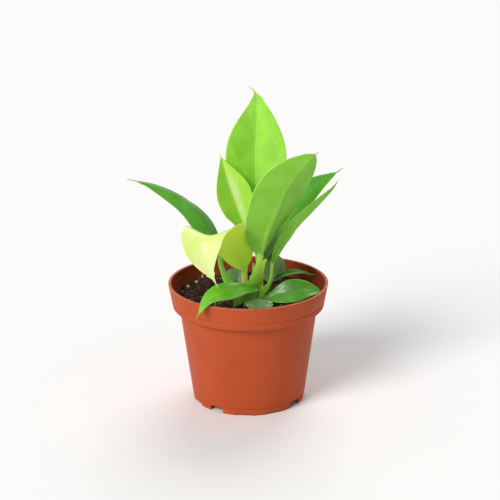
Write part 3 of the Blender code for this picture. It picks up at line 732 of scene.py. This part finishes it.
def pot_profile():
    """The pot's section, from the middle of its floor over the rim to the foot. The
    foot ring stops at the height of the drain notches; its lugs come after."""
    groove = POT_HEIGHT - GROOVE_DROP
    foot = FOOT_RADIUS - FOOT_INSET
    inside = [(PAD_RADIUS, FLOOR_LIFT + POT_WALL)] + inner_profile(0)
    rim = [(RIM_RADIUS - LIP_WIDTH, POT_HEIGHT - LIP_HEIGHT), (RIM_RADIUS - LIP_WIDTH, POT_HEIGHT),
           (RIM_RADIUS, POT_HEIGHT)]
    outside = [(band_radius(groove + GROOVE_DEPTH), groove + GROOVE_DEPTH),
               (band_radius(groove) - GROOVE_DEPTH, groove),
               (band_radius(groove - GROOVE_DEPTH), groove - GROOVE_DEPTH),
               (band_radius(BAND_FOOT), BAND_FOOT), (body_radius(BODY_TOP), BODY_TOP),
               (FOOT_RADIUS, FOOT_HEIGHT), (foot, FOOT_HEIGHT - FOOT_INSET), (foot, DRAIN_HEIGHT)]
    under = [(foot - POT_WALL, DRAIN_HEIGHT), (foot - POT_WALL, FLOOR_LIFT),
             (PAD_RADIUS, FLOOR_LIFT), (PAD_RADIUS - EDGE_ROUND, 0)]
    return inside + rim + outside + under


def in_gap(x, y, deep_only):
    """Whether a place on the foot ring lies in one of the gaps between its lugs."""
    angle = degrees(atan2(x, -y)) - GAP_TURN
    pitch = 360 / GAP_COUNT
    nearest = round(angle / pitch)
    if deep_only and nearest % DRAIN_EVERY:
        return False
    return abs(angle - nearest * pitch) < GAP_ANGLE / 2


def pull_down_lugs(pot, depth, deep_only):
    """Extrude the foot ring's bottom faces down, except at all gaps or the deep ones."""
    level = min(v.co.z for v in pot.data.vertices if v.co.xy.length > FOOT_RADIUS - 5 * MM)
    edit(pot, "FACE")
    done()
    for face in pot.data.polygons:
        x, y, z = face.center
        on_ring = hypot(x, y) > FOOT_RADIUS - 5 * MM and abs(z - level) < 0.01 * MM
        face.select = on_ring and face.normal.z < -0.9 and not in_gap(x, y, deep_only)
    bpy.ops.object.mode_set(mode="EDIT")
    bpy.ops.mesh.extrude_region_move(TRANSFORM_OT_translate={"value": (0, 0, -depth)})
    done()


def build_pot():
    profile = pot_profile()
    deselect()
    bpy.ops.mesh.primitive_circle_add(vertices=POT_STEPS, radius=profile[0][0],
                                      location=(0, 0, profile[0][1]))
    pot = bpy.context.object
    pot.name = "nursery_pot"
    bpy.ops.object.transform_apply()
    bpy.ops.object.mode_set(mode="EDIT")
    bpy.ops.mesh.select_all(action="SELECT")
    for (r1, z1), (r2, z2) in zip(profile, profile[1:]):
        bpy.ops.mesh.extrude_region_move(TRANSFORM_OT_translate={"value": (0, 0, z2 - z1)})
        bpy.ops.transform.resize(value=(r2 / r1, r2 / r1, 1), center_override=(0, 0, z2))
    done()
    close_seams(pot)
    pull_down_lugs(pot, DRAIN_HEIGHT - GAP_HEIGHT, True)
    pull_down_lugs(pot, GAP_HEIGHT, False)
    soften = pot.modifiers.new("soft_edges", "BEVEL")
    soften.width = EDGE_ROUND
    soften.segments = 3
    soften.limit_method = "ANGLE"
    soften.angle_limit = radians(24)
    apply_modifiers(pot)
    for i in range(0, GAP_COUNT, DRAIN_EVERY):
        angle = radians(GAP_TURN + 360 * i / GAP_COUNT)
        out = Vector((sin(angle), -cos(angle), 0)) * (FOOT_RADIUS - DRAIN_HOLE_INSET)
        bpy.ops.mesh.primitive_cylinder_add(vertices=32, radius=DRAIN_HOLE_RADIUS,
                                            depth=4 * POT_WALL,
                                            location=(out.x, out.y, FLOOR_LIFT + POT_WALL / 2))
        cutter = bpy.context.object
        cut = pot.modifiers.new("drain_hole", "BOOLEAN")
        cut.object = cutter
        apply_modifiers(pot)
        bpy.data.objects.remove(cutter)
    activate(pot)
    bpy.ops.object.shade_smooth_by_angle(angle=radians(35))
    dress(pot, "terracotta_plastic", "pot")


# ---- Potting mix ----
def mix_height(x, y):
    share = hypot(x, y) / inner_radius(MIX_TOP, 0)
    bumps = noise.noise(Vector((x, y, 0)) / MIX_GRAIN)
    return MIX_TOP - MIX_FALL * share ** 2 + MIX_ROUGHNESS * (bumps - 0.6)


def crumbly_height(x, y):
    """The mix's top with its lumps and crumbs, down to nothing at the wall."""
    place = Vector((x, y, 0))
    edge = 1 - between(0.94, 1.0, hypot(x, y) / inner_radius(MIX_TOP, 0))
    lumps = 0.9 * noise.fractal(place / LUMP_SIZE, 1.0, 2.2, 4)
    cracks = 0.7 * noise.voronoi(place / CRACK_SIZE)[0][0]
    return mix_height(x, y) + (lumps - cracks + 0.1) * edge * MM


def build_mix():
    edge = MIX_TOP - MIX_FALL
    wall = [p for p in reversed(inner_profile(MIX_GAP)) if p[1] < edge]
    wall.append((0.0, wall[-1][1]))
    rows = MIX_RINGS + len(wall)
    top_radius = inner_radius(edge, MIX_GAP)

    def place(around, share):
        angle = TURN * around
        step = round(share * rows)
        if step <= MIX_RINGS:
            radius = top_radius * step / MIX_RINGS
            x, y = radius * cos(angle), radius * sin(angle)
            return Vector((x, y, crumbly_height(x, y)))
        radius, height = wall[step - MIX_RINGS - 1]
        return Vector((radius * cos(angle), radius * sin(angle), height))

    mix = shaped_grid("mix_bed", MIX_STEPS, rows, place)
    close_seams(mix)
    tinted(mix, lambda point: 0.5 + 0.5 * noise.noise(point / CRUMB_SIZE))
    dress(mix, "potting_mix", "potting_mix")


def lumpy(name, subdivisions, roughness, seed):
    """A rough grain of radius 1."""
    deselect()
    bpy.ops.mesh.primitive_ico_sphere_add(subdivisions=subdivisions, radius=1)
    grain = bpy.context.object
    grain.name = name
    for vertex in grain.data.vertices:
        vertex.co *= 1 + roughness * noise.noise(vertex.co * 1.3 + Vector((seed, 0, 0)))
    return grain


def strand(name, rows, bend, seed):
    """A bent, three-sided strand of length 2 and radius 1 across."""
    def place(around, along):
        angle = TURN * around
        taper = 1 - 0.7 * abs(2 * along - 1) ** 2
        curl = bend * sin(pi * along + seed)
        return Vector((2 * along - 1, curl + taper * cos(angle) * 0.06,
                       taper * sin(angle) * 0.06 + 0.3 * bend * cos(4 * along + seed)))

    return close_seams(shaped_grid(name, 3, rows, place), 0.0001)


def scatter(rng, name, models, slot, count, sizes, squash, reach, lift, tints=(0, 1)):
    """Copies of the models all over the mix, joined into one piece."""
    batch = bmesh.new()
    layer = batch.verts.layers.float.new("tint")
    limit = inner_radius(MIX_TOP, 0) * reach
    made = 0
    while made < count:
        radius = limit * sqrt(rng.random())
        angle = rng.random() * TURN
        x, y = radius * cos(angle), radius * sin(angle)
        size = rng.uniform(*sizes) * MM
        model = rng.choice(models)
        shade = rng.uniform(*tints)
        turn = Matrix.Rotation(rng.random() * TURN, 4, "Z") \
            @ Matrix.Rotation(rng.uniform(-1, 1) * lift, 4, "Y")
        stretch = Matrix.Diagonal((size, size * rng.uniform(*squash),
                                   size * rng.uniform(*squash), 1))
        if (Vector((x, y)) - CROWN_FOOT.xy).length < CROWN_RADIUS or radius + size > limit:
            continue
        place = Vector((x, y, crumbly_height(x, y) + size * 0.25))
        first = len(batch.verts)
        batch.from_mesh(model.data)
        batch.verts.ensure_lookup_table()
        for vertex in batch.verts[first:]:
            vertex.co = place + (turn @ stretch @ vertex.co)
            vertex[layer] = shade
        made += 1
    mesh = bpy.data.meshes.new(name)
    batch.to_mesh(mesh)
    batch.free()
    piece = bpy.data.objects.new(name, mesh)
    bpy.context.scene.collection.objects.link(piece)
    piece.data.shade_smooth()
    dress(piece, slot)


def build_litter():
    """Crumbs, fibres, chips, straws and perlite that cover the mix."""
    rng = random.Random(SEED)
    coarse = [lumpy(f"coarse_{i}", 2, 0.9, i * 3.1) for i in range(4)]
    fine = [lumpy(f"fine_{i}", 1, 0.6, i * 5.3) for i in range(3)]
    strands = [strand(f"strand_{i}", 8, 0.25, i * 1.7) for i in range(4)]
    # Name, models, slot, count, sizes in mm, squash, how far out as a share of the
    # mix, lift from level in radians, tones.
    for kind in (
            ("mix_crumbs", coarse, "potting_mix", 900, (0.6, 1.5), (0.5, 1.0), 0.99, 0.8),
            ("mix_grit", fine, "potting_mix", 2600, (0.25, 0.6), (0.6, 1.0), 0.99, 0.8),
            ("mix_fibres", strands, "potting_mix", 650, (1.2, 3.2), (0.7, 1.4), 0.97, 0.5,
             (0.3, 1)),
            ("bark_bits", coarse, "bark", 60, (1.0, 2.2), (0.25, 0.6), 0.95, 0.6),
            ("straws", strands, "straw", 70, (1.6, 4.2), (0.8, 1.3), 0.95, 0.4),
            ("straw_bits", fine, "straw", 260, (0.25, 0.55), (0.4, 1.0), 0.97, 0.8),
            ("perlite_bits", coarse, "perlite", 16, (0.4, 0.8), (0.7, 1.0), 0.95, 0.8)):
        scatter(rng, *kind)
    for model in coarse + fine + strands:
        bpy.data.objects.remove(model)


def build_bark():
    """The flake of bark that stands in the mix, worn and split."""
    low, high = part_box("bark_chip")
    middle = (low + high) / 2
    size = high - low
    deselect()
    bpy.ops.mesh.primitive_cube_add(size=1)
    chip = bpy.context.object
    chip.name = "bark_flake"
    bpy.ops.object.mode_set(mode="EDIT")
    bpy.ops.mesh.subdivide(number_cuts=11)
    bpy.ops.transform.resize(value=(0.98 * size.x, 0.6 * size.y, size.z))
    done()
    for vertex in chip.data.vertices:
        x, y, z = vertex.co
        taper = 1 - 0.28 * (abs(z) / size.z * 2) ** 3
        place = vertex.co + middle
        grain = noise.noise(Vector((place.x, place.y, place.z * 0.35)) / (1.2 * MM))
        rough = noise.noise(place / (2.5 * MM))
        vertex.co = middle + Vector((x * taper * (0.86 + 0.25 * rough),
                                     y * (0.75 + 0.7 * grain), z * (0.93 + 0.1 * rough)))
    chip.modifiers.new("worn", "SUBSURF")
    apply_modifiers(chip)
    chip.data.shade_smooth()
    dress(chip, "bark", "bark_chip")


def build_grains():
    for i, name in enumerate(("perlite_left", "perlite_middle", "perlite_back")):
        low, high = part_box(name)
        middle = (low + high) / 2
        grain = lumpy(f"{name}_grain", 4, 0.7, i * 2.3)
        for vertex in grain.data.vertices:
            pits = 1 - 0.22 * noise.voronoi(vertex.co * 2.2 + Vector((i, 0, 0)))[0][0]
            vertex.co = middle + vertex.co * pits * (high.x - low.x) * 0.48
        grain.data.shade_smooth()
        dress(grain, "perlite", name)


def build_twig():
    points = []
    for x, y, height in TWIG_POINTS:
        foot = crumbly_height(x * MM, y * MM) + TWIG_LIFT
        points.append(Vector((x * MM, y * MM, foot + height * MM)))
    path = smooth_points(points, TWIG_ROWS)

    def place(around, along):
        step = round(along * TWIG_ROWS)
        ahead = (path[min(step + 1, TWIG_ROWS)] - path[max(step - 1, 0)]).normalized()
        side = ahead.cross(Vector((0, 0, 1))).normalized()
        angle = TURN * around
        knot = 1 + 0.3 * noise.noise(Vector((along * 9, angle, 0)))
        radius = TWIG_RADIUS * knot * (1 - 0.4 * along)
        return path[step] + radius * (cos(angle) * side + sin(angle) * side.cross(ahead))

    twig = close_seams(shaped_grid("dry_twig", TWIG_AROUND, TWIG_ROWS, place))
    tinted(twig, lambda point: TWIG_TINT)
    dress(twig, "straw", "twig")


# ---- Plant ----
def drawn(point):
    return CROWN_FOOT + Vector(point) * MM


def blade_frame(leaf, spine, share):
    """Directions across the blade and out of its upper side."""
    i = round(share * BLADE_ROWS)
    along = (spine[min(i + 1, BLADE_ROWS)] - spine[max(i - 1, 0)]).normalized()
    face = spread(leaf["faces"], share)
    face = (face - face.dot(along) * along).normalized()
    return along.cross(face), face


def outline(leaf, share):
    """Half width in mm at a share of the way from the leaf's base to its hair tip."""
    share /= 1 - leaf["drip"]
    end = 1 / (1 - leaf["drip"])
    start = 1 - DRIP_REACH
    drip = DRIP_WIDTH * leaf["half_width"] * max((end - share) / (end - start), 0) ** 2
    if share >= 1:
        return max(drip, HAIR_TIP * (1 - 0.6 * between(1.0, end, share)))
    if share < leaf["widest"]:
        half = leaf["half_width"] * sin(pi / 2 * share / leaf["widest"]) ** leaf["base"]
        return max(half, NECK)
    past = (share - leaf["widest"]) / (1 - leaf["widest"])
    blade = leaf["half_width"] * cos(pi / 2 * past) ** leaf["tip"]
    return max(hypot(blade, drip if share > start else 0), HAIR_TIP)


def curled(out, angle):
    """Where a point of the blade's half lies across and above it once the margin has
    rolled in by the angle."""
    if out <= CURL_FROM or angle == 0:
        return out, 0
    radius = (1 - CURL_FROM) / angle
    turn = (out - CURL_FROM) / radius
    return CURL_FROM + radius * sin(turn), radius * (1 - cos(turn))


def build_blade(name, leaf, *nodes):
    """A grid bent along the midrib, folded, waved at its margins and thickened."""
    spine = [drawn(point) for point in smooth_points(leaf["midrib"], BLADE_ROWS)]
    phase = sum(leaf["midrib"][-1])

    def place(across, share):
        side_share = 2 * across - 1
        side_share = copysign(abs(side_share) ** COLUMN_CROWDING, side_share)
        side, face = blade_frame(leaf, spine, share)
        folds = leaf.get("far_fold", leaf["fold"]) if side_share > 0 else leaf["fold"]
        turn = radians(spread(folds, share))
        half = outline(leaf, share) * MM
        if "ear" in leaf and side_share < 0:
            middle, reach, height = leaf["ear"]
            half += height * MM * exp(-abs(share - middle) / reach)
        out = abs(side_share)
        valley = leaf.get("valley", VALLEY_ROUND)
        curl = spread(leaf.get("far_curl" if side_share > 0 else "curl", (0, 0)), share)
        reach, roll = curled(out, radians(curl))
        rise = sqrt(out * out + valley ** 2) - valley
        rise -= leaf["droop"] * out ** 2 * (1 - 0.5 * share)
        waves = sin(9 * share + phase + (2.1 if side_share > 0 else 0)) * out ** 3
        waves *= leaf["wave"] * MM * between(0, 0.3, share) * (1 - between(0.85, 1, share))
        swell = 0.25 * MM * noise.noise(Vector((side_share * 2.2, share * 7, phase)))
        lift = half * (rise * sin(turn) + roll) + waves + swell * min(half / (8 * MM), 1)
        reach = copysign(reach, side_share)
        return (spine[round(share * BLADE_ROWS)] + half * reach * cos(turn) * side
                + (lift + BLADE_THICKNESS / 2) * face)

    blade = shaped_grid(f"blade_{name}", BLADE_COLUMNS, BLADE_ROWS, place)
    thick = blade.vertex_groups.new(name="thick")
    columns = BLADE_COLUMNS + 1
    for vertex in blade.data.vertices:
        out = abs(2 * (vertex.index % columns) / BLADE_COLUMNS - 1) ** COLUMN_CROWDING
        share = vertex.index // columns / BLADE_ROWS
        half = outline(leaf, share)
        rib_half = max(RIB_SHARE * (1 - share) + 0.02, 1.0 / half * (1 - share))
        rib = max(1 - (out / rib_half) ** 2, 0) ** 0.5 if out < rib_half else 0
        sheet = BLADE_THICKNESS * (1 - 0.45 * out ** 4)
        ridge = (RIB_THICKNESS - BLADE_THICKNESS) * (1 - between(0, 0.95, share)) ** 1.5
        ridge *= min(leaf["half_width"] / 10, 1)
        thick.add([vertex.index], (sheet + ridge * rib) / RIB_THICKNESS, "REPLACE")
    shell = blade.modifiers.new("thickness", "SOLIDIFY")
    shell.thickness = RIB_THICKNESS
    shell.offset = -1
    shell.vertex_group = "thick"
    shell.material_offset = 1
    shell.material_offset_rim = 1
    materials = LEAF_FINISHES[leaf.get("finish", leaf["slot"])]
    dress(blade, leaf["slot"], *nodes, materials=materials)
    apply_modifiers(blade)
    blade.data.shade_smooth()


def build_stalk(name, stalk, *nodes, leaf=None):
    """A stalk from the crown into its blade, with a sheath that widens its foot."""
    path = [Vector(point) for point in stalk["points"]]
    faces = Vector(stalk.get("opens", (0, -1, 0.2)))
    if leaf:
        path.append(Vector(leaf["midrib"][0]).lerp(Vector(leaf["midrib"][1]), BLADE_OVERLAP))
        faces = Vector(leaf["faces"][0])
    path = [drawn(point) for point in smooth_points(path, STALK_ROWS)]
    sheath_width, sheath_top = stalk.get("sheath", NO_SHEATH)

    def place(around, share):
        step = round(share * STALK_ROWS)
        along = (path[min(step + 1, STALK_ROWS)] - path[max(step - 1, 0)]).normalized()
        face = (faces - faces.dot(along) * along).normalized()
        side = along.cross(face)
        radius = spread(stalk["radii"], share)
        flare = (1 - between(0, sheath_top, share)) ** 0.8
        wide = radius + sheath_width * flare
        thin = radius * (1 - 0.45 * flare * min(sheath_width, 1))
        knuckle = 1 + (0.10 * exp(-((share - 0.9) / 0.03) ** 2) if leaf else 0)
        angle = TURN * around
        x = cos(angle) * wide * knuckle
        y = sin(angle) * thin * knuckle
        if y > 0:
            y *= 0.7
        y += 0.35 * sheath_width * flare * (x / wide) ** 2
        wobble = 1 + 0.05 * noise.noise(Vector((x, y, share * 6)))
        return path[step] + (x * wobble * side + y * wobble * face) * MM

    piece = close_seams(shaped_grid(f"petiole_{name}", STALK_AROUND, STALK_ROWS, place))
    dress(piece, "stem_green", *nodes, materials=[STALK_FINISHES[stalk.get("tone", "green")]])


def build_crown():
    """The short stem: a bulb of clasping leaf feet above the mix."""
    depth = CROWN_FOOT.z - CROWN_BOX[0].z
    section = [(r * CROWN_RADIUS, 0, z * CROWN_RISE) for r, z in CROWN_BULB]
    section += [(r * CROWN_RADIUS, 0, -z * depth) for r, z in CROWN_ROOT]
    outline_points = smooth_points(section, CROWN_ROWS)

    def place(around, share):
        angle = TURN * around
        point = outline_points[round(share * CROWN_ROWS)]
        rings = 1 + 0.045 * sin(2.2 * angle + point.z / (1.4 * MM))
        folds = 1 + 0.05 * sin(3 * angle + 0.8) + 0.03 * sin(7 * angle)
        radius = max(point.x, 0) * rings * folds
        return CROWN_FOOT + Vector((radius * cos(angle), radius * sin(angle), point.z))

    crown = close_seams(shaped_grid("crown", CROWN_AROUND, CROWN_ROWS, place))
    dress(crown, "stem_green", "crown_stem", materials=[STALK_FINISHES["lime"]])


def build_plant():
    build_crown()
    for name, leaf in LEAVES.items():
        build_blade(name, leaf, f"leaf_{name}")
    for name, stalk in STALKS.items():
        build_stalk(name, stalk, f"stalk_{name}", leaf=LEAVES[name])
    for name, sprout in SPROUTS.items():
        build_stalk(name, sprout, name)
    for name, leaf in SMALL_BLADES.items():
        build_blade(name, leaf)
    for name, stalk in OLD_STALKS.items():
        build_stalk(name, stalk)


# ---- Floor, light and camera ----
def build_floor():
    deselect()
    bpy.ops.mesh.primitive_circle_add(vertices=96, radius=6, fill_type="NGON")
    floor = bpy.context.object
    floor.name = "floor"
    finish = Finish("pale_floor", Specular_IOR_Level=0.1)
    finish.color((0.9, 0.9, 0.9))
    finish.roughness(0.9)
    floor.data.materials.append(finish.material)


def add_sun(name, azimuth, height, strength, softness, color):
    """A soft light; its azimuth is 0 at the front and grows towards +X."""
    deselect()
    bpy.ops.object.light_add(type="SUN", location=(0, 0, 1))
    light = bpy.context.object
    light.name = name
    light.data.energy = strength
    light.data.angle = radians(softness)
    light.data.color = color
    azimuth, height = radians(azimuth), radians(height)
    back = Vector((sin(azimuth) * cos(height), -cos(azimuth) * cos(height),
                   sin(height)))
    light.rotation_euler = back.to_track_quat("Z", "Y").to_euler()


def build_lights():
    add_sun("key", azimuth=-42, height=36, strength=2.5, softness=28, color=(1, 0.985, 0.96))
    add_sun("back", azimuth=165, height=50, strength=1.2, softness=40, color=(1, 1, 1))
    world = bpy.data.worlds.new("studio")
    world.use_nodes = True
    background = world.node_tree.nodes["Background"].inputs
    background["Color"].default_value = (1, 1, 1, 1)
    background["Strength"].default_value = 0.32
    bpy.context.scene.world = world
    bpy.context.scene.view_settings.view_transform = "Standard"


def build_camera():
    back = Vector((0, -cos(ELEVATION), sin(ELEVATION)))
    camera = bpy.data.objects.new("camera", bpy.data.cameras.new("camera"))
    bpy.context.scene.collection.objects.link(camera)
    camera.location = AIM + back * DISTANCE
    turn = (-back).to_track_quat("-Z", "Y").to_matrix()
    camera.rotation_euler = (turn @ Matrix.Rotation(-ROLL, 3, "Z")).to_euler()
    camera.data.lens = LENS
    camera.data.sensor_width = 36
    bpy.context.scene.camera = camera


build_camera()
build_pot()
build_mix()
build_litter()
build_bark()
build_grains()
build_twig()
build_plant()
build_floor()
build_lights()
